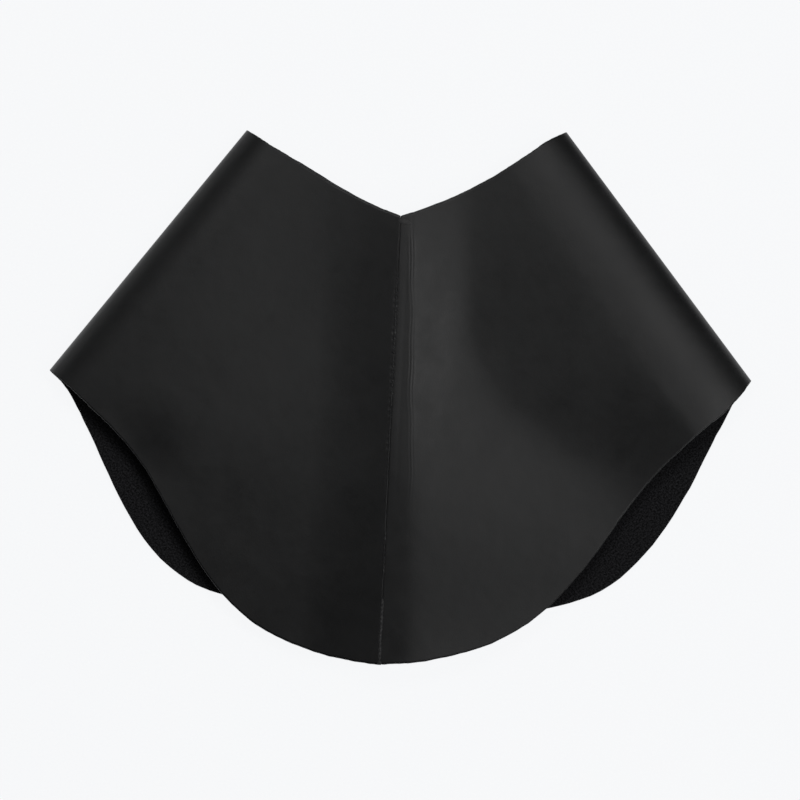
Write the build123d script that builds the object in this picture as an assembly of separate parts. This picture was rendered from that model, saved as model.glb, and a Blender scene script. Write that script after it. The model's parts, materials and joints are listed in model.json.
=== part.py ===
from build123d import *

from math import cos, pi, radians, sin, tanh
import os

# A conical neoprene sleeve seal, pressed flat and lying on its back layer.
#
# Two equal panels of skinned foam with a bonded knit lining meet edge to edge at a front seam and a
# back seam. Each panel wraps round one side, so the folds at the left and right are plain bent sheet.
# Millimetres, +Z up, -Y from the neck towards the hem, the back layer's outer face on Z = 0.

# The flattened cone. Both layers are sectors about the cone's apex. Angles are in degrees at the
# apex, from straight down the sleeve, and positive towards +X.
APEX_X, APEX_Y = 6.63, 235.37
LEFT_FOLD, RIGHT_FOLD = -39.2, 36.45
FRONT_SEAM = -2.7
BACK_SEAM = LEFT_FOLD + RIGHT_FOLD - FRONT_SEAM  # equal panels put it here

# The sheet and its fold
FOAM = 2.5
LINING = 0.5
FOLD_R = 8.0  # outside radius of the two side folds, so the sleeve lies 16 mm high
HEIGHT = 2 * FOLD_R

# The cut edges, as distances from the apex. Pairs give the left side and the right side, and angles
# are counted from the layer's own seam. The neck edge is level at the sides, with a shallow V at
# each seam.
NECK_SIDE = (131.2, 126.8)
NECK_AT_FOLD = (132.0, 128.2)
NECK_V_HALF_ANGLE = (26.7, 34.1)
NECK_V_POWER = 1.5
FRONT_NECK_V, BACK_NECK_V = 145.5, 148.5

# The hem is a long lobe in front and a shorter, broader one behind. They meet at the folds.
FRONT_SIDE, FRONT_LOBE = 285.7, 370.8
FRONT_FALL_ANGLE, FRONT_FALL_SPREAD = (17.5, 18.4), 9.4
BACK_SIDE, BACK_LOBE = (288.2, 282.5), 347.5
BACK_LEVEL_ANGLE, BACK_SIDE_ANGLE = (16.7, 12.6), (39.4, 38.8)
HEM_AT_FOLD = (287.0, 283.0)
FOLD_CORNER_ANGLE = 5.0

# Seams: a butt joint filled with cement, and short nylon stitches sunk flush across it
SEAM_GAP = 0.8
STITCH_PITCH = 3.4
STITCH_LENGTH, STITCH_WIDTH, STITCH_DEPTH = 4.4, 0.7, 0.5
STITCH_END_MARGIN = 5.0
DROP_R, DROP_HEIGHT = 2.2, 0.7  # a drop of cement closes each end of the front seam
DROP_INSET = 2.6

OUTLINE_STEP = 3.0  # degrees between the points that each edge curve is drawn through


def at(angle, radius, across=0.0):
    """The point at a radius from the apex along a ray, moved across the ray towards +X."""
    a = radians(angle)
    return (
        APEX_X + radius * sin(a) + across * cos(a),
        APEX_Y - radius * cos(a) + across * sin(a),
    )


def drawn_to_fold(angle, radius, at_fold):
    """Close to a fold, a layer's edge is drawn to the corner that both layers share."""
    side = int(angle > FRONT_SEAM)
    to_fold = abs((LEFT_FOLD, RIGHT_FOLD)[side] - angle)
    share = max(0.0, 1.0 - to_fold / FOLD_CORNER_ANGLE) ** 2
    return radius + (at_fold[side] - radius) * share


def neck(angle, seam, v_radius):
    """Level at the side, deepening along a power curve to the V at the seam."""
    side = int(angle > seam)
    share = max(0.0, 1.0 - abs(angle - seam) / NECK_V_HALF_ANGLE[side]) ** NECK_V_POWER
    level = NECK_SIDE[side]
    return drawn_to_fold(angle, level + (v_radius - level) * share, NECK_AT_FOLD)


def front_neck(angle):
    return neck(angle, FRONT_SEAM, FRONT_NECK_V)


def back_neck(angle):
    return neck(angle, BACK_SEAM, BACK_NECK_V)


def front_hem(angle):
    """A lobe that falls away on each side along an S-curve, a hyperbolic tangent."""
    side = int(angle > FRONT_SEAM)
    off = abs(angle - FRONT_SEAM) - FRONT_FALL_ANGLE[side]
    share = (1 - tanh(off / FRONT_FALL_SPREAD)) / 2
    return drawn_to_fold(angle, FRONT_SIDE + (FRONT_LOBE - FRONT_SIDE) * share, HEM_AT_FOLD)


def back_hem(angle):
    """A lobe that is level in the middle and falls to the folds along half a cosine wave."""
    side = int(angle > BACK_SEAM)
    off = abs(angle - BACK_SEAM) - BACK_LEVEL_ANGLE[side]
    share = min(max(off / (BACK_SIDE_ANGLE[side] - BACK_LEVEL_ANGLE[side]), 0.0), 1.0)
    lobe = (BACK_LOBE - BACK_SIDE[side]) * (1 + cos(pi * share)) / 2
    return drawn_to_fold(angle, BACK_SIDE[side] + lobe, HEM_AT_FOLD)


def edge_points(edge_at, seam, fold, at_fold):
    """Points along a cut edge, from its seam to where the side fold begins."""
    side = 1 if fold > seam else -1
    count = round(abs(fold - seam) / OUTLINE_STEP)
    angles = [seam + (fold - seam) * i / count for i in range(1, count)]
    first = at(seam, edge_at(seam), side * SEAM_GAP / 2)
    last = at(fold, at_fold, -side * FOLD_R)
    return [first] + [at(a, edge_at(a)) for a in angles] + [last]


def layer(seam, fold, neck_at, hem_at, z, thickness):
    """One level layer of a panel's ply, from its seam to where its side fold begins."""
    side = int(fold > seam)
    top = edge_points(neck_at, seam, fold, NECK_AT_FOLD[side])
    bottom = edge_points(hem_at, seam, fold, HEM_AT_FOLD[side])
    edges = [
        Spline(*top),
        Line(top[-1], bottom[-1]),
        Spline(*reversed(bottom)),
        Line(bottom[0], top[0]),
    ]
    return Pos(0, 0, z) * extrude(make_face(edges), thickness)


def side_fold(fold, outer, inner):
    """The half ring, from neck to hem, that joins a ply's front layer to its back layer."""
    side = int(fold > FRONT_SEAM)
    out = 1 if side else -1
    a = radians(fold)
    section = Plane(
        origin=(*at(fold, NECK_AT_FOLD[side], -out * FOLD_R), FOLD_R),
        x_dir=(out * cos(a), out * sin(a), 0),
        z_dir=(out * sin(a), -out * cos(a), 0),
    )
    ring = Circle(outer) - Circle(inner) - Pos(-outer, 0) * Rectangle(2 * outer, 4 * outer)
    return extrude(section * ring, out * (HEM_AT_FOLD[side] - NECK_AT_FOLD[side]))


def panel_ply(fold, outer, inner):
    """The foam or the lining of one panel: two level layers and the fold between them."""
    thickness = outer - inner
    front = layer(FRONT_SEAM, fold, front_neck, front_hem, FOLD_R + inner, thickness)
    back = layer(BACK_SEAM, fold, back_neck, back_hem, FOLD_R - outer, thickness)
    return front + back + side_fold(fold, outer, inner)


def seam_fill(seam, neck_at, hem_at, z):
    """The cement line that fills a butt seam through the sheet's whole thickness."""
    start, end = neck_at(seam), hem_at(seam)
    middle = at(seam, (start + end) / 2)
    strip = Box(SEAM_GAP, end - start, FOAM + LINING, align=(Align.CENTER,) * 2 + (Align.MIN,))
    return Pos(*middle, z) * Rot(0, 0, seam) * strip


def stitches(seam, neck_at, hem_at, z):
    """A row of short bars across a seam, flush with the outer skin."""
    start = neck_at(seam) + STITCH_END_MARGIN
    room = hem_at(seam) - STITCH_END_MARGIN - start
    count = int(room // STITCH_PITCH) + 1
    bar = Box(STITCH_LENGTH, STITCH_WIDTH, STITCH_DEPTH, align=(Align.CENTER,) * 2 + (Align.MIN,))
    places = [at(seam, start + i * STITCH_PITCH) for i in range(count)]
    return [Pos(x, y, z) * Rot(0, 0, seam) * bar for x, y in places]


def end_drop(radius):
    """A low dome of cement on the front seam."""
    ball_r = (DROP_R**2 + DROP_HEIGHT**2) / (2 * DROP_HEIGHT)
    ball = Pos(*at(FRONT_SEAM, radius), HEIGHT + DROP_HEIGHT - ball_r) * Sphere(ball_r)
    return ball & Pos(*at(FRONT_SEAM, radius), HEIGHT) * Cylinder(
        ball_r, ball_r, align=(Align.CENTER,) * 2 + (Align.MIN,)
    )


def write(name, shape):
    shape.label = name
    export_step(shape, os.path.join("parts", name + ".step"))


os.makedirs("parts", exist_ok=True)

front_stitches = stitches(FRONT_SEAM, front_neck, front_hem, HEIGHT - STITCH_DEPTH)
back_stitches = stitches(BACK_SEAM, back_neck, back_hem, 0.0)
front_thread, back_thread = Compound(children=front_stitches), Compound(children=back_stitches)

for side_name, fold in (("left", LEFT_FOLD), ("right", RIGHT_FOLD)):
    foam = panel_ply(fold, FOLD_R, FOLD_R - FOAM)
    write(side_name + "_foam_panel", foam - front_stitches - back_stitches)
    write(side_name + "_lining", panel_ply(fold, FOLD_R - FOAM, FOLD_R - FOAM - LINING))

front_fill = seam_fill(FRONT_SEAM, front_neck, front_hem, HEIGHT - FOAM - LINING)
back_fill = seam_fill(BACK_SEAM, back_neck, back_hem, 0.0)
write("front_seam_cement", front_fill - front_stitches)
write("back_seam_cement", back_fill - back_stitches)
write("front_seam_thread", front_thread)
write("back_seam_thread", back_thread)
write("neck_end_drop", end_drop(front_neck(FRONT_SEAM) + DROP_INSET))
write("hem_end_drop", end_drop(front_hem(FRONT_SEAM) - DROP_INSET))
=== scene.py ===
import json

import bpy
import numpy as np
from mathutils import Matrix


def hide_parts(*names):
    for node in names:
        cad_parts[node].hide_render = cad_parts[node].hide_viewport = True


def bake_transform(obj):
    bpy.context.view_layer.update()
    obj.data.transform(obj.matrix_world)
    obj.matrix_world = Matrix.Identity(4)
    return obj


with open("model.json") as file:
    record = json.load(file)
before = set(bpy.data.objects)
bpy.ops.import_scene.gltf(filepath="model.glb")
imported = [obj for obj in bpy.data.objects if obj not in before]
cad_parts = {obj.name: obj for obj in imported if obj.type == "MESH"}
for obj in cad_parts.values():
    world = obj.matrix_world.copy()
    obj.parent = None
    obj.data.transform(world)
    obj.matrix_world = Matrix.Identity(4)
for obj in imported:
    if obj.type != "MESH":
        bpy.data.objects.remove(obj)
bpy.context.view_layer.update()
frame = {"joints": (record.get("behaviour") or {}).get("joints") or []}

# ---------------------------------------------------------------------------------------------
# Floor, light and camera. The sleeve lies on a white table that glows, as a back-lit one does, and
# is looked at from straight above. Two softboxes, to its right and beyond it, do most of the
# lighting, and three weaker ones fill in.
# ---------------------------------------------------------------------------------------------

VIEW_WIDTH = 0.400  # metres across the view at the height of the front layer
VIEW_CENTRE = (-0.0004, -0.0016, 0.010)
LENS = 300.0
SENSOR = 36.0
TABLE_SIZE = 6.0


def linear(hex_colour):
    """An sRGB hex colour such as "1a1b1c" as a linear RGBA tuple."""
    srgb = np.array([int(hex_colour[i : i + 2], 16) for i in (0, 2, 4)]) / 255
    rgb = np.where(srgb <= 0.04045, srgb / 12.92, ((srgb + 0.055) / 1.055) ** 2.4)
    return (*rgb.tolist(), 1.0)


def add_node(tree, kind, settings=None, **links):
    """Adds one node: settings are its properties, links are values or sockets for its inputs."""
    node = tree.nodes.new(kind)
    for name, value in (settings or {}).items():
        setattr(node, name, value)
    for name, value in links.items():
        key = int(name[1:]) if name[0] == "i" and name[1:].isdigit() else name.replace("_", " ")
        if isinstance(value, bpy.types.NodeSocket):
            tree.links.new(value, node.inputs[key])
        else:
            node.inputs[key].default_value = value
    return node


def new_material(name):
    """A named material with its Principled shader, and its node tree."""
    material = bpy.data.materials.new(name)
    material.use_nodes = True
    return material, material.node_tree, material.node_tree.nodes["Principled BSDF"]


LIGHT_DISTANCE = 1.6
LIGHT_SIZE = 0.5


def soft_light(name, tilt, azimuth, watts):
    """A square softbox aimed at the origin, tilted from straight above towards an azimuth."""
    tilt, azimuth = np.radians(tilt), np.radians(azimuth)
    light = bpy.data.lights.new(name, "AREA")
    light.size = LIGHT_SIZE
    light.energy = watts
    lamp = bpy.data.objects.new(name, light)
    flat = np.sin(tilt) * np.array([np.cos(azimuth), np.sin(azimuth)])
    lamp.location = (*(flat * LIGHT_DISTANCE), np.cos(tilt) * LIGHT_DISTANCE)
    lamp.rotation_euler = (tilt, 0.0, azimuth + np.pi / 2)
    lamp.visible_camera = False
    bpy.context.scene.collection.objects.link(lamp)


soft_light("right_softbox", 28, 0, 4.0)
soft_light("far_softbox", 28, 90, 3.7)
soft_light("near_right_softbox", 42, 315, 1.7)
soft_light("left_softbox", 42, 180, 0.7)
soft_light("low_left_strip", 72, 138, 0.9)

world = bpy.data.worlds.new("studio_room")
world.use_nodes = True
world.node_tree.nodes["Background"].inputs["Color"].default_value = linear("c8cacc")
world.node_tree.nodes["Background"].inputs["Strength"].default_value = 0.012
bpy.context.scene.world = world
bpy.context.scene.view_settings.view_transform = "Standard"

camera = bpy.data.objects.new("overhead_camera", bpy.data.cameras.new("overhead_camera"))
camera.data.lens = LENS
camera.data.sensor_width = SENSOR
camera_height = VIEW_WIDTH / 2 / (SENSOR / 2 / LENS)
camera.location = (VIEW_CENTRE[0], VIEW_CENTRE[1], VIEW_CENTRE[2] + camera_height)
bpy.context.scene.collection.objects.link(camera)
bpy.context.scene.camera = camera

corners = np.array([(-1, -1, 0), (1, -1, 0), (1, 1, 0), (-1, 1, 0)]) * TABLE_SIZE / 2
table_mesh = bpy.data.meshes.new("table")
table_mesh.from_pydata(corners.tolist(), [], [(0, 1, 2, 3)])
table = bpy.data.objects.new("table", table_mesh)
bpy.context.scene.collection.objects.link(table)

# White matt laminate, lit from below so that it takes no shadow: evenly pale, with a barely visible
# grain.
laminate, tree, shader = new_material("white_matt_laminate")
shader.inputs["Roughness"].default_value = 0.75
place = add_node(tree, "ShaderNodeTexCoord").outputs["Object"]
grain = add_node(tree, "ShaderNodeTexNoise", Vector=place, Scale=900.0, Detail=2.0)
tint = add_node(
    tree,
    "ShaderNodeMix",
    {"data_type": "RGBA"},
    i0=grain.outputs["Fac"],
    i6=linear("f7f8fa"),
    i7=linear("fbfcfd"),
)
shader.inputs["Base Color"].default_value = linear("404040")
tree.links.new(tint.outputs[2], shader.inputs["Emission Color"])
shader.inputs["Emission Strength"].default_value = 0.955
table_mesh.materials.append(laminate)

# ---------------------------------------------------------------------------------------------
# The sleeve's cut. It is a cone made of two equal panels and pressed flat, so a point is given by
# its angle at the cone's apex and its distance from it, in millimetres. Angles are in degrees from
# straight down the sleeve. The hinge of the CAD frame runs down the front seam from the apex.
# ---------------------------------------------------------------------------------------------

MM = 0.001
LEFT, RIGHT = 0, 1
FRONT, BACK = 0, 1
FOLDS = (-39.4, 36.58)
FRONT_SEAM = -2.7
BACK_SEAM = FOLDS[LEFT] + FOLDS[RIGHT] - FRONT_SEAM
NECK_V = (145.5, 148.5)  # radius of the neck edge at the front and the back seam
LOBE_END = (370.8, 347.5)  # lowest radius of the front and the back hem's lobe
FRONT_HEM_SIDE = 285.7  # radius of the front hem beside the lobe
CORNER_EASE = 5.0
HINGE_DOWN_SEAM = 257.0  # distance from the apex to the hinge's own place on the seam

hinge = frame["joints"][0]
hinge_place = np.array(hinge["pos_m"]) / MM
seam_way = np.array(hinge["axis"])
apex = (hinge_place - HINGE_DOWN_SEAM * seam_way)[:2]
seam_across = np.array([-seam_way[1], seam_way[0], 0.0])


def drawn_to_fold(side, angle, radius, at_fold):
    """In the last 5 degrees a cut edge eases, as a square, to the corner that both layers share."""
    share = np.clip(1 - np.abs(FOLDS[side] - angle) / CORNER_EASE, 0, 1) ** 2
    return radius + (at_fold - radius) * share


def neck_edge(side, front, angle):
    """Level at the side, and deepening as the 1.5th power to a shallow V at the seam."""
    seam, v_radius = (FRONT_SEAM, NECK_V[FRONT]) if front else (BACK_SEAM, NECK_V[BACK])
    level, half_angle, at_fold = ((131.2, 26.7, 132.0), (126.8, 34.1, 128.2))[side]
    share = np.clip(1 - np.abs(angle - seam) / half_angle, 0, 1) ** 1.5
    return drawn_to_fold(side, angle, level + (v_radius - level) * share, at_fold)


def hem_edge(side, front, angle):
    """In front a lobe that falls as a hyperbolic tangent; behind a level lobe and half a cosine."""
    if front:
        half_lobe, soft = ((17.5, 8.8), (18.4, 9.7))[side]
        off = np.abs(angle - FRONT_SEAM) - half_lobe
        fall = LOBE_END[FRONT] - FRONT_HEM_SIDE
        radius = FRONT_HEM_SIDE + fall * (1 - np.tanh(off / soft)) / 2
    else:
        level, end, low = ((16.7, 39.4, 288.2), (12.6, 38.8, 282.5))[side]
        share = np.clip((np.abs(angle - BACK_SEAM) - level) / (end - level), 0, 1)
        radius = low + (LOBE_END[BACK] - low) * (1 + np.cos(np.pi * share)) / 2
    return drawn_to_fold(side, angle, radius, (287.0, 283.0)[side])


def smooth_step(x):
    """0 below 0, 1 above 1, and 3x^2 - 2x^3 between."""
    x = np.clip(x, 0, 1)
    return x * x * (3 - 2 * x)


def soft_max(a, b, blend):
    """The larger of two heights, with their crossing rounded over about twice the blend."""
    return blend * np.logaddexp(a / blend, b / blend)


CREASE = -0.35  # where the back seam's ridge shows through the front layer
FOLD_MIDDLE = 7.5  # height of the outermost line of each side fold
LOOPS = ((24.0, 18.8, 2.0), (37.0, 18.6, 2.5))  # each loop's reach, its crest's height, its power
ROOF = 18.8  # height of the roof under the front seam


def size_at(radius):
    """The sleeve is lower at its neck: heights and fold widths grow as a sine down to the hem."""
    return 0.80 + 0.22 * np.sin(np.pi / 2 * np.clip((radius - 125) / 200, 0, 1))


def loop_height(side, w, size, radius):
    """Height of the loop beside a fold, at w inward from the fold's outermost line.

    It rises as the root of 1 - (1 - w / reach) ^ power to its crest, and beyond the crest it falls
    as a hyperbola, which is nearly a straight slope.
    """
    reach, crest, power = LOOPS[side]
    reach = reach * size
    rise = (crest - FOLD_MIDDLE) * size
    near = rise * np.sqrt(1 - (1 - np.clip(w / reach, 0, 1)) ** power)
    slope = (
        0.100 - 0.052 * smooth_step((radius - 160) / 130),
        0.078 + 0.088 * smooth_step((radius - 220) / 80),
    )[side]
    beyond = np.clip(w - reach, 0, None)
    soft = (8.0, 8.0 - 4.0 * smooth_step((radius - 215) / 70))[side]
    return FOLD_MIDDLE * size + near - slope * (np.sqrt(beyond**2 + soft**2) - soft)


STITCH_PITCH = 3.4  # assumed, from the 3 to 4 mm that a blind-stitch machine makes


def seam_relief(side, from_seam, from_crease, radius):
    """Small relief of the front skin, in millimetres.

    The skin rolls down into the joint as a Gaussian, with a cosine dimple at each stitch. On the
    left each stitch also pulls in a Gaussian dent beside the joint. From the seam to the crease the
    skin slips down as a parabola. Along the crease run three fine ridges, a cosine under a
    Gaussian, that fade out down the sleeve.
    """
    s = radius - NECK_V[FRONT]
    dimples = smooth_step((s - 20) / 12) * smooth_step((110 - s) / 30)
    stitch = np.cos(2 * np.pi * s / STITCH_PITCH)
    roll = (0.13 + 0.10 * dimples * stitch) * np.exp(
        -((from_seam / (0.35 + 0.45 * dimples)) ** 2)
    )
    if side == LEFT:
        stitched = smooth_step((s - 22) / 8) * smooth_step((142 - s) / 20)
        pulled = np.clip(stitch * (0.65 + 0.35 * np.sin(s / 2.9)), 0, 1)
        dents = 0.30 * stitched * pulled * np.exp(-(((from_seam + 0.9) / 0.55) ** 2))
        return -0.4 * roll - dents
    fade = smooth_step((s - 4) / 14) * smooth_step((165 - s) / 80)
    meander = from_crease + 0.35 * np.sin(s / 11.0) + 0.2 * np.sin(s / 4.3)
    uneven = 0.048 + 0.022 * np.sin(s / 9.0)
    ridges = uneven * np.cos(2 * np.pi * meander / 1.5) * np.exp(-((meander / 1.8) ** 2))
    step = 0.12 * np.exp(-((meander / 2.2) ** 2))
    slip = 0.35 * np.clip(from_seam / (from_seam - from_crease), 0, 1) ** 2
    slip = slip * (1 - smooth_step((s - 85) / 60))
    groove = 0.05 * np.exp(-(((from_seam - 4.4) / 0.9) ** 2))
    groove = groove * (smooth_step((s - 30) / 6) * smooth_step((150 - s) / 30))
    return (ridges + step) * fade - slip - roll - groove


def front_height(side, angle, radius):
    """Height of the front layer's skin: a soft loop along the fold and a roof under the seam.

    The roof falls to the left of the seam, and to the right of the crease, as a power of the way to
    a valley, where the loop's own slope takes over. Its fold end is cut away as a square. The higher
    of the loop and the roof shows. From seam to crease the roof is level at the neck and rises a
    little at the hem. The left half has a Gaussian dent near its corner, and the layer sinks at the
    hem.
    """
    to_mm = radius * np.radians(1.0)
    size = size_at(radius)
    w = radius * np.sin(np.radians(np.abs(FOLDS[side] - angle)))
    loop = loop_height(side, w, size, radius)
    top = ROOF * (0.35 + 0.65 * size) - 0.6 * smooth_step((radius - 250) / 110)
    if side == RIGHT:
        to_crease = (CREASE - angle) / (CREASE - FRONT_SEAM)
        short = (to_crease + np.sqrt(to_crease**2 + 0.20)) / (1 + np.sqrt(1.20))
        top = top + 0.90 * (1 - short) * smooth_step((radius - 235) / 80)
    edge = FRONT_SEAM if side == LEFT else CREASE
    off = (angle - edge) * (-1, 1)[side] * to_mm
    bend = (0.3, 1.0 + 3.4 * smooth_step((radius - 190) / 110))[side]
    off = (off + np.sqrt(off**2 + bend**2) - (bend, 0)[side]) / 2
    valley_off = (38.0, 31.0 + 97.0 * smooth_step((radius - 203) / 130))[side]
    power = (1.35, 1.25)[side]
    valley_w = radius * np.sin(np.radians(np.abs(FOLDS[side] - edge)) - valley_off / radius)
    valley = loop_height(side, valley_w, size, radius)
    share = off / valley_off
    roof = top - (top - valley) * (1 - np.clip(1 - share, 0, 1) ** power)
    roof = roof - 0.03 * np.clip(off - valley_off, 0, None)
    roof = roof - 12.0 * np.clip(1 - w / 28, 0, 1) ** 2
    blend = (1.8, 0.6 + 1.1 * smooth_step((radius - 190) / 80))[side]
    height = soft_max(loop, roof, blend)
    if side == LEFT:
        from_dent = np.hypot(radius - 300, (angle + 27.5) * to_mm)
        height = height - 2.2 * np.exp(-((from_dent / 17) ** 2))
    height = height - 0.8 * smooth_step((radius - 315) / 60)
    from_seam, from_crease = (angle - FRONT_SEAM) * to_mm, (angle - CREASE) * to_mm
    return height + seam_relief(side, from_seam, from_crease, radius)


BACK_TURN = 8.0  # how far in from the fold the back layer leaves the table


def back_height(side, angle, radius):
    """The back layer's skin lies on the table and turns up a quarter ellipse to the fold."""
    w = radius * np.sin(np.radians(np.abs(FOLDS[side] - angle)))
    size = size_at(radius)
    turn = 1 - np.clip(w / (BACK_TURN * size), 0, 1)
    return FOLD_MIDDLE * size * (1 - np.sqrt(np.clip(1 - turn**2, 0, 1)))


def flat_place(angle, radius):
    """Plan position of a point of the flattened cone."""
    a = np.radians(angle)
    return apex[0] + radius * np.sin(a), apex[1] - radius * np.cos(a)


def skin(side, front, angle, radius):
    """Points on the outer skin, as an array with a last axis of three."""
    height = (front_height if front else back_height)(side, angle, radius)
    return np.stack([*flat_place(angle, radius), height], axis=-1)


# ---------------------------------------------------------------------------------------------
# The two foam panels. Each is one piece of closed-cell neoprene with a smooth skin, cut with
# shears, that runs from the front seam round one side fold to the back seam.
# ---------------------------------------------------------------------------------------------

FOAM = 2.5
SEAM_HALF_GAP = 0.12
FRONT_LINES, BACK_LINES, ALONG = 128, 84, 228  # grid lines round a panel and from neck to hem
TURN_SHARE = 0.3  # share of the grid lines that stand close together round the fold
SEAM_END_SLOPE = 1.287  # how fast the angle grows with the step at the seam end of a layer


def packed(density, count):
    """Numbers from 0 to 1 whose spacing is inversely proportional to a density function of them."""
    fine = np.linspace(0, 1, 4001)
    total = np.concatenate([[0], np.cumsum(density((fine[1:] + fine[:-1]) / 2))])
    return np.interp(np.linspace(0, total[-1], count), total, fine)


def angles_round(side, coarseness):
    """Angles of a panel's grid lines from front seam to fold to back seam, and which are in front.

    From the fold inwards the angle is a hyperbola of the step, which starts as its square, because
    the sheet turns there. The lines also stand close beside the seams and along the crease.
    """

    def inward(span, lines, has_crease):
        crease_at = 1 - np.abs(CREASE - FRONT_SEAM) / span / SEAM_END_SLOPE

        def density(t):
            crease = has_crease * np.exp(-(((t - crease_at) / 0.011) ** 2))
            seam = np.exp(-(((1 - t) / 0.012) ** 2))
            bend = 1.2 * np.exp(-(((1 - t) / 0.07) ** 2))
            return 1 + 1.5 * np.exp(-t / 0.08) + bend + 5.0 * seam + 5.0 * crease

        share = packed(density, int(lines / coarseness))
        eased = np.sqrt(share**2 + TURN_SHARE**2) - TURN_SHARE
        return eased / (np.sqrt(1 + TURN_SHARE**2) - TURN_SHARE) * span

    out = (-1, 1)[side]
    front_span, back_span = abs(FOLDS[side] - FRONT_SEAM), abs(FOLDS[side] - BACK_SEAM)
    front = FOLDS[side] - out * inward(front_span, FRONT_LINES, side == RIGHT)[::-1]
    back = FOLDS[side] - out * inward(back_span, BACK_LINES, False)[1:]
    return np.concatenate([front, back]), np.arange(len(front) + len(back)) < len(front)


NECK_SEED, HEM_SEED = 11, 21
NECK_STEADINESS = 0.5  # the neck is cut twice as evenly as the hem


def cut_wobble(angle, seed):
    """The unevenness of a shears' cut, in millimetres: a sum of six sines of unrelated lengths."""
    rng = np.random.default_rng(seed)
    lengths = np.array([9.0, 5.3, 2.9, 1.7, 1.05, 0.62])
    sizes = np.array([0.12, 0.08, 0.06, 0.06, 0.05, 0.04])
    starts = rng.uniform(0, 2 * np.pi, len(lengths))
    return (sizes * np.sin(2 * np.pi * angle[:, None] / lengths + starts)).sum(1)


def panel_skin(side, coarseness=1.0):
    """The grid of one panel's outer skin: its points, and their places in the flat cut in metres.

    In the flat cut a point keeps its radius, and its angle is counted on round the fold.
    """
    angle, in_front = angles_round(side, coarseness)
    share = np.linspace(0, 1, int(ALONG / coarseness))
    points, cut = [], []
    for front, rows in ((True, in_front), (False, ~in_front)):
        a = angle[rows]
        top = neck_edge(side, front, a) + cut_wobble(a, NECK_SEED + side) * NECK_STEADINESS
        low = hem_edge(side, front, a) + cut_wobble(a, HEM_SEED + side)
        r = top[:, None] + (low - top)[:, None] * share[None, :]
        a = np.broadcast_to(a[:, None], r.shape)
        points.append(skin(side, front, a, r))
        unrolled = np.radians((a - FOLDS[side]) * (1 if front else -1))
        cut.append(np.stack([r * np.sin(unrolled), -r * np.cos(unrolled)], axis=-1) * MM)
    points = np.concatenate(points)
    points[0] += (-1, 1)[side] * SEAM_HALF_GAP * seam_across
    points[-1, :, 0] += (-1, 1)[side] * SEAM_HALF_GAP
    return points, np.concatenate(cut)


def normals_of(points, side):
    """Unit normals of a grid, pointing out of the sleeve."""
    n = np.cross(np.gradient(points, axis=0), np.gradient(points, axis=1))
    n /= np.linalg.norm(n, axis=-1, keepdims=True)
    return n * (1, -1)[side]


def put_together(name, points, faces, material, flat_cut=None):
    """Makes a smooth-shaded mesh object from points in millimetres, with a UV map if given one."""
    mesh = bpy.data.meshes.new(name)
    mesh.from_pydata((points * MM).tolist(), [], faces)
    mesh.polygons.foreach_set("use_smooth", np.ones(len(mesh.polygons), bool))
    mesh.materials.append(material)
    if flat_cut is not None:
        corner = np.empty(len(mesh.loops), int)
        mesh.loops.foreach_get("vertex_index", corner)
        mesh.uv_layers.new(name="flat_cut").data.foreach_set("uv", flat_cut[corner].ravel())
    piece = bpy.data.objects.new(name, mesh)
    bpy.context.scene.collection.objects.link(piece)
    return piece


def closed_slab(name, outer, inner, cut, rim, material, flip):
    """A closed mesh between two grids of points, and how many of its faces are not rim.

    The rim is a few rows between the grids' borders. Each row lies a share of the way down and
    stands out by its own amount, along the grid's own lines. Flip turns all the faces over.
    """
    rows, columns = outer.shape[:2]
    number = np.arange(rows * columns).reshape(rows, columns)
    quads = np.stack(
        [number[:-1, :-1], number[1:, :-1], number[1:, 1:], number[:-1, 1:]], axis=-1
    ).reshape(-1, 4)
    loop = np.concatenate(
        [number[:-1, 0], number[-1, :-1], number[:0:-1, -1], number[0, :0:-1]]
    )
    next_in = np.minimum(np.maximum(loop % columns, 1), columns - 2) + loop // columns * columns
    top, low = outer.reshape(-1, 3), inner.reshape(-1, 3)
    outward = top[loop] - top[next_in]
    outward /= np.maximum(np.linalg.norm(outward, axis=-1, keepdims=True), 1e-9)
    middle = [top[loop] + (low[loop] - top[loop]) * down + outward * out for down, out in rim]
    points = np.concatenate([top, low, *middle])
    rings = [loop]
    rings += [2 * len(top) + k * len(loop) + np.arange(len(loop)) for k in range(len(rim))]
    rings += [loop + len(top)]
    strips = [
        np.stack([a, b, np.roll(b, -1), np.roll(a, -1)], axis=-1)
        for a, b in zip(rings[:-1], rings[1:])
    ]
    faces = np.concatenate([quads, quads[:, ::-1] + len(top), *strips])
    faces = faces[:, ::-1] if flip else faces
    cut = cut.reshape(-1, 2)
    flat_cut = np.concatenate([cut, cut] + [cut[loop]] * len(rim))
    return put_together(name, points, faces.tolist(), material, flat_cut), 2 * len(quads)


def bends_with_fold(piece):
    """Bakes the piece's world transform into its mesh."""
    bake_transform(piece)


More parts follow.
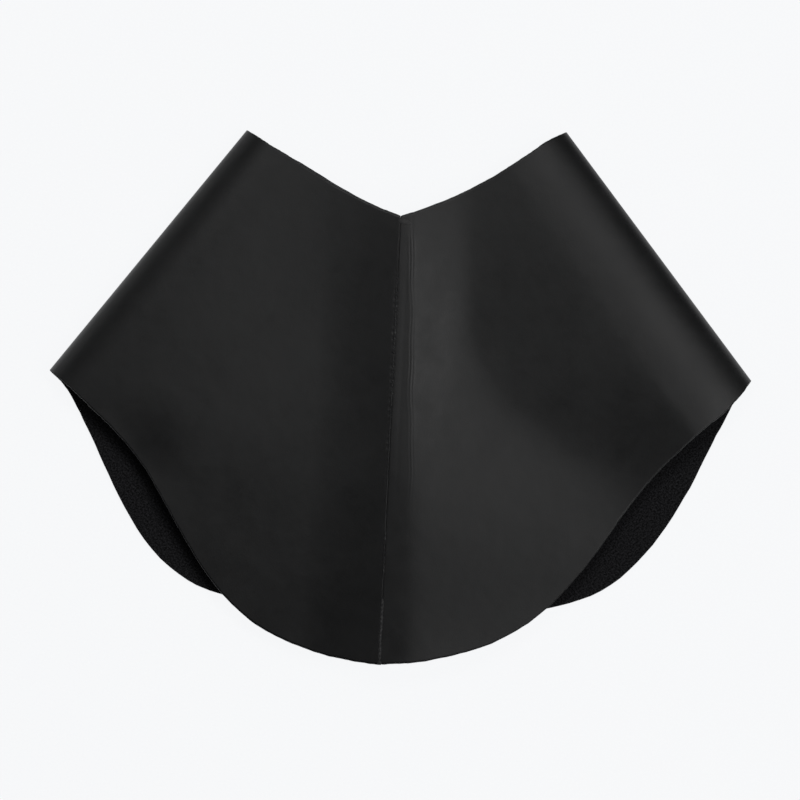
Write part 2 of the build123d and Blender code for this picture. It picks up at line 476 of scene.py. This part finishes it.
# Smooth-skin neoprene: the skin is cast against a polished plate, so it is black with a soft, even
# shine, and shows faint broad unevenness where the foam under it varies.
skin_material, tree, shader = new_material("smooth_skin_neoprene")
shader.inputs["IOR"].default_value = 1.52
place = add_node(tree, "ShaderNodeTexCoord").outputs["Object"]
broad = add_node(
    tree, "ShaderNodeTexNoise", Vector=place, Scale=34.0, Detail=6.0, Roughness=0.80, Distortion=0.3
)
fine = add_node(tree, "ShaderNodeTexNoise", Vector=place, Scale=1400.0, Detail=3.0)
tint = add_node(
    tree,
    "ShaderNodeMix",
    {"data_type": "RGBA"},
    i0=broad.outputs["Fac"],
    i6=linear("121213"),
    i7=linear("191a1b"),
)
tree.links.new(tint.outputs[2], shader.inputs["Base Color"])
shine = add_node(
    tree,
    "ShaderNodeMapRange",
    Value=broad.outputs["Fac"],
    From_Min=0.3,
    From_Max=0.7,
    To_Min=0.39,
    To_Max=0.50,
)
tree.links.new(shine.outputs["Result"], shader.inputs["Roughness"])
swell = add_node(tree, "ShaderNodeTexNoise", Vector=place, Scale=55.0, Detail=2.0)
waves = add_node(
    tree, "ShaderNodeBump", Height=swell.outputs["Fac"], Strength=0.30, Distance=0.0006
)
bump = add_node(
    tree,
    "ShaderNodeBump",
    Height=fine.outputs["Fac"],
    Strength=0.14,
    Distance=0.0002,
    Normal=waves.outputs["Normal"],
)
tree.links.new(bump.outputs["Normal"], shader.inputs["Normal"])

# Cut closed-cell foam: the shears open the cells, so the edge is matt, charcoal and pitted. Each
# open cell is painted darker towards its floor, as painted shade in the pit.
cut_material, tree, shader = new_material("cut_closed_cell_foam")
shader.inputs["Roughness"].default_value = 0.85
place = add_node(tree, "ShaderNodeTexCoord").outputs["Object"]
cells = add_node(tree, "ShaderNodeTexVoronoi", Vector=place, Scale=2200.0)
# Painted shade: darkest at each cell's middle, where the bump makes its pit, paler on the rims.
tint = add_node(
    tree,
    "ShaderNodeMix",
    {"data_type": "RGBA"},
    i0=cells.outputs["Distance"],
    i6=linear("141415"),
    i7=linear("363638"),
)
tree.links.new(tint.outputs[2], shader.inputs["Base Color"])
bump = add_node(
    tree, "ShaderNodeBump", Height=cells.outputs["Distance"], Strength=0.6, Distance=0.0003
)
tree.links.new(bump.outputs["Normal"], shader.inputs["Normal"])

# How far down the cut edge each row of its bulge lies, and how far it stands out.
CUT_BULGE = ((0.05, 0.10), (0.30, 0.28), (0.65, 0.40), (0.95, 0.34))

for side, name in ((LEFT, "left_foam_panel"), (RIGHT, "right_foam_panel")):
    outer, cut = panel_skin(side)
    inner = outer - normals_of(outer, side) * FOAM
    piece, skin_faces = closed_slab(
        name + "_skinned",
        outer,
        inner,
        cut,
        rim=CUT_BULGE,
        material=skin_material,
        flip=side == RIGHT,
    )
    piece.data.materials.append(cut_material)
    index = np.zeros(len(piece.data.polygons), int)
    index[skin_faces:] = 1
    piece.data.polygons.foreach_set("material_index", index)
    bends_with_fold(piece)
    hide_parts(name)

# ---------------------------------------------------------------------------------------------
# The linings. A thin brushed knit is bonded to the inside of each panel before it is cut, so it
# ends at the same edges. Its pile shows behind the front hem, on the inside of the back layer.
# ---------------------------------------------------------------------------------------------

LINING = 0.5
BOND_GAP = 0.02  # keeps the lining's own surface clear of the foam's
LINING_COARSENESS = 1.35

# Brushed nylon jersey: near-black loops that scatter light, so it looks like dark velvet. A painted
# highlight makes lighter flecks where the loops stand up, and painted shade darkens the pile between
# them. Loops of about 0.5 mm are drawn 0.9 mm wide so they show.
knit_material, tree, shader = new_material("brushed_nylon_jersey")
shader.inputs["Roughness"].default_value = 0.95
shader.inputs["Specular IOR Level"].default_value = 0.22
shader.inputs["Sheen Weight"].default_value = 0.10
shader.inputs["Sheen Roughness"].default_value = 0.5
place = add_node(tree, "ShaderNodeUVMap", {"uv_map": "flat_cut"}).outputs["UV"]
loops = add_node(tree, "ShaderNodeTexNoise", Vector=place, Scale=1100.0, Detail=3.0, Roughness=0.85)
# Painted highlight where the loops stand highest in the bump, and painted shade between them.
loop_highlight_and_shade = add_node(
    tree,
    "ShaderNodeMapRange",
    Value=loops.outputs["Fac"],
    From_Min=0.42,
    From_Max=0.64,
    To_Min=0.0,
    To_Max=1.0,
)
tint = add_node(
    tree,
    "ShaderNodeMix",
    {"data_type": "RGBA"},
    i0=loop_highlight_and_shade.outputs["Result"],
    i6=linear("010102"),
    i7=linear("3c3c3f"),
)
tree.links.new(tint.outputs[2], shader.inputs["Base Color"])
bump = add_node(
    tree, "ShaderNodeBump", Height=loops.outputs["Fac"], Strength=0.9, Distance=0.0008
)
tree.links.new(bump.outputs["Normal"], shader.inputs["Normal"])

for side, name in ((LEFT, "left_lining"), (RIGHT, "right_lining")):
    outer, cut = panel_skin(side, LINING_COARSENESS)
    normal = normals_of(outer, side)
    piece, _ = closed_slab(
        name + "_jersey",
        outer - normal * (FOAM + BOND_GAP),
        outer - normal * (FOAM + LINING),
        cut,
        rim=((0.5, 0.42),),
        material=knit_material,
        flip=side == RIGHT,
    )
    bends_with_fold(piece)
    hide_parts(name)

# ---------------------------------------------------------------------------------------------
# The cement. The panels' edges are wetted with black neoprene cement and pressed together, so a
# thin web fills the joint, and what is squeezed out sets as an uneven glossy bead on the skin.
# ---------------------------------------------------------------------------------------------

HEM_END = (368.8, 347.5)  # radius at which the front and the back seam end
WEB_ACROSS = (0.25, 0.12, 0.12, -0.12, -0.12, -0.25)
WEB_DOWN = (-0.45, -0.60, -2.40, -2.40, -0.60, -0.45)
BEAD_POINTS = 9

# Solvent neoprene cement: dries a shade paler than the skin, half glossy, with an orange peel.
cement_material, tree, shader = new_material("dried_neoprene_cement")
shader.inputs["Base Color"].default_value = linear("303031")
place = add_node(tree, "ShaderNodeTexCoord").outputs["Object"]
peel = add_node(tree, "ShaderNodeTexNoise", Vector=place, Scale=700.0, Detail=2.0)
gloss = add_node(
    tree,
    "ShaderNodeMapRange",
    Value=peel.outputs["Fac"],
    From_Min=0.35,
    From_Max=0.65,
    To_Min=0.44,
    To_Max=0.62,
)
tree.links.new(gloss.outputs["Result"], shader.inputs["Roughness"])
bump = add_node(
    tree, "ShaderNodeBump", Height=peel.outputs["Fac"], Strength=0.5, Distance=0.0003
)
tree.links.new(bump.outputs["Normal"], shader.inputs["Normal"])


def hill(s, start, end, soft):
    """1 between two distances down the seam, 0 outside them, with smooth steps of a soft length."""
    return smooth_step((s - start) / soft) * smooth_step((end - s) / soft)


def on_seam(face, s, across, rise):
    """Points at a distance down a seam, a distance across it and a rise out of the skin there.

    Beside the front seam the skin's height is worked out on each side of it. At the back seam the
    skin lies on the table, and out of it is down.
    """
    radius = NECK_V[face] + s
    if face == BACK:
        angle = np.radians(BACK_SEAM)
        way, right = (np.sin(angle), -np.cos(angle)), (np.cos(angle), np.sin(angle))
        height = -rise
    else:
        way, right = seam_way[:2], seam_across[:2]
        angle = FRONT_SEAM + np.degrees(across / radius)
        sides = [front_height(side, angle, radius) for side in (LEFT, RIGHT)]
        height = np.where(across < 0, *sides) + rise
    x = apex[0] + radius * way[0] + across * right[0]
    y = apex[1] + radius * way[1] + across * right[1]
    return np.stack([x, y, height], axis=-1)


def closed_tube(name, rings, material, flip=False):
    """A closed mesh through rings of points, (count, around, 3), with a flat cap at each end."""
    count, around = rings.shape[:2]
    number = np.arange(count * around).reshape(count, around)
    on = np.roll(number, -1, axis=1)
    quads = np.stack([number[:-1], on[:-1], on[1:], number[1:]], axis=-1).reshape(-1, 4)
    faces = quads.tolist() + [number[0, ::-1].tolist(), number[-1].tolist()]
    if flip:
        faces = [face[::-1] for face in faces]
    return put_together(name, rings.reshape(-1, 3), faces, material)


# The front bead is dotted at the stitches, then hardly there, then glossy, and full at the hem. Its
# edges wander as two sines. The back one is wiped flat.
for face, name in ((FRONT, "front_seam_cement"), (BACK, "back_seam_cement")):
    s = np.arange(0.4, HEM_END[face] - NECK_V[face] - 0.2, 0.3)
    beads = 0.5 + 0.5 * np.cos(2 * np.pi * s / STITCH_PITCH)
    dotted, glossy, last = hill(s, 28, 92, 4), hill(s, 155, 182, 4), hill(s, 190, 223, 3)
    lumps = 0.5 + 0.3 * np.sin(s / 0.37) + 0.2 * np.sin(s / 0.83 + 2.0)
    half_width = 0.32 + 0.90 * dotted * beads * lumps + 0.45 * glossy * lumps + 0.80 * last
    rise = -0.12 + 0.80 * dotted * beads * lumps
    rise = rise + glossy * (0.52 + 0.30 * lumps) + last * (0.40 + 0.36 * lumps)
    if face == BACK:
        rise = np.full_like(s, -0.06)
    wander = 0.14 * np.sin(s / 7.1) + 0.10 * np.sin(s / 2.3 + 1.0)
    # One ring: a low parabola from edge to edge of the bead, then the web down to the lining.
    t = np.linspace(-1, 1, BEAD_POINTS)
    across = np.concatenate([t, WEB_ACROSS])
    down = np.concatenate([-0.30 * t**2, WEB_DOWN])
    on_bead = np.arange(len(across)) < BEAD_POINTS
    x = across * np.where(on_bead, half_width[:, None], 1.0) + wander[:, None] * on_bead
    rise_there = np.where(on_bead, rise[:, None] * (1 - across**2), 0)
    rings = on_seam(face, s[:, None] + 0 * x, x, rise_there + down)
    piece = closed_tube(name + "_bead", rings, cement_material, flip=face == FRONT)
    bends_with_fold(piece)
    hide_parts(name)

# ---------------------------------------------------------------------------------------------
# The thread. A blind-stitch machine runs one black nylon thread to and fro under the skin, so it
# winds along the seam inside the foam and only the crowns of its stitches come up in the joint.
# ---------------------------------------------------------------------------------------------

THREAD_THICK = 0.36
STITCH_REACH = 1.5
THREAD_START, THREAD_SPARE = 4.0, 8.0  # where it starts, and how much seam it leaves free in all
STEPS_PER_STITCH = 20
STRAND_SIDES = 8

# Bonded nylon thread: near-black, with the faint sheen of its filaments.
thread_material, tree, shader = new_material("bonded_nylon_thread")
shader.inputs["Base Color"].default_value = linear("0d0d0e")
shader.inputs["Sheen Weight"].default_value = 0.10
place = add_node(tree, "ShaderNodeTexCoord").outputs["Object"]
strands = add_node(tree, "ShaderNodeTexNoise", Vector=place, Scale=5200.0, Detail=1.0)
gloss = add_node(
    tree,
    "ShaderNodeMapRange",
    Value=strands.outputs["Fac"],
    From_Min=0.3,
    From_Max=0.7,
    To_Min=0.40,
    To_Max=0.65,
)
tree.links.new(gloss.outputs["Result"], shader.inputs["Roughness"])

for face, name in ((FRONT, "front_seam_thread"), (BACK, "back_seam_thread")):
    end = HEM_END[face] - NECK_V[face] - THREAD_SPARE
    s = np.arange(THREAD_START, end, STITCH_PITCH / STEPS_PER_STITCH)
    turn = 2 * np.pi * s / STITCH_PITCH
    shown = hill(s, 26, 94, 5) if face == FRONT else 0.0
    depth = 1.25 - 0.95 * np.cos(turn) + 0.15 * (1 - shown) - 0.18 * shown
    # The winding is an ellipse, a sine across and a cosine down, whose crowns are nearest the skin.
    centre = on_seam(face, s, STITCH_REACH * np.sin(turn), -depth)
    way = np.gradient(centre, axis=0)
    way /= np.linalg.norm(way, axis=-1, keepdims=True)
    side_way = np.cross(way, seam_way)
    side_way /= np.linalg.norm(side_way, axis=-1, keepdims=True)
    up_way = np.cross(side_way, way)
    round_thread = np.linspace(0, 2 * np.pi, STRAND_SIDES, endpoint=False)
    rings = centre[:, None] + THREAD_THICK / 2 * (
        np.cos(round_thread)[None, :, None] * side_way[:, None]
        + np.sin(round_thread)[None, :, None] * up_way[:, None]
    )
    piece = closed_tube(name + "_winding", rings, thread_material, flip=True)
    bends_with_fold(piece)
    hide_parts(name)

# ---------------------------------------------------------------------------------------------
# The end drops. Cement is dabbed on both ends of the front seam to lock the thread: at the neck a
# smear wiped over to the crease, and at the hem a nib that hangs just past the cut.
# ---------------------------------------------------------------------------------------------


POLE_GAP = 0.06  # angle from a drop's pole to its first ring


def dab(name, node, s_at, across_at, long, wide, high, turned=0.0):
    """A flattened drop: rings of an ellipse whose radii go as a sine and whose rise as a cosine,
    with two and three low swellings round it."""
    lat = np.linspace(POLE_GAP, np.pi - POLE_GAP, 14)[:, None]
    lon = np.linspace(0, 2 * np.pi, 28, endpoint=False)[None, :]
    swell = 1 + 0.10 * np.sin(2 * lon + 0.7) + 0.06 * np.sin(3 * lon)
    u = wide / 2 * np.sin(lat) * np.cos(lon) * swell
    v = long / 2 * np.sin(lat) * np.sin(lon) * swell
    across = across_at + u * np.cos(turned) - v * np.sin(turned)
    s = s_at + u * np.sin(turned) + v * np.cos(turned)
    rings = on_seam(FRONT, s, across, np.cos(lat) * high + 0 * lon)
    piece = closed_tube(name, rings, cement_material)
    bends_with_fold(piece)
    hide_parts(node)


dab("neck_end_smear", "neck_end_drop", 2.6, 2.3, 2.8, 6.4, 0.10, turned=0.15)
dab("hem_end_nib", "hem_end_drop", 222.9, 0.1, 2.6, 2.0, 0.55)
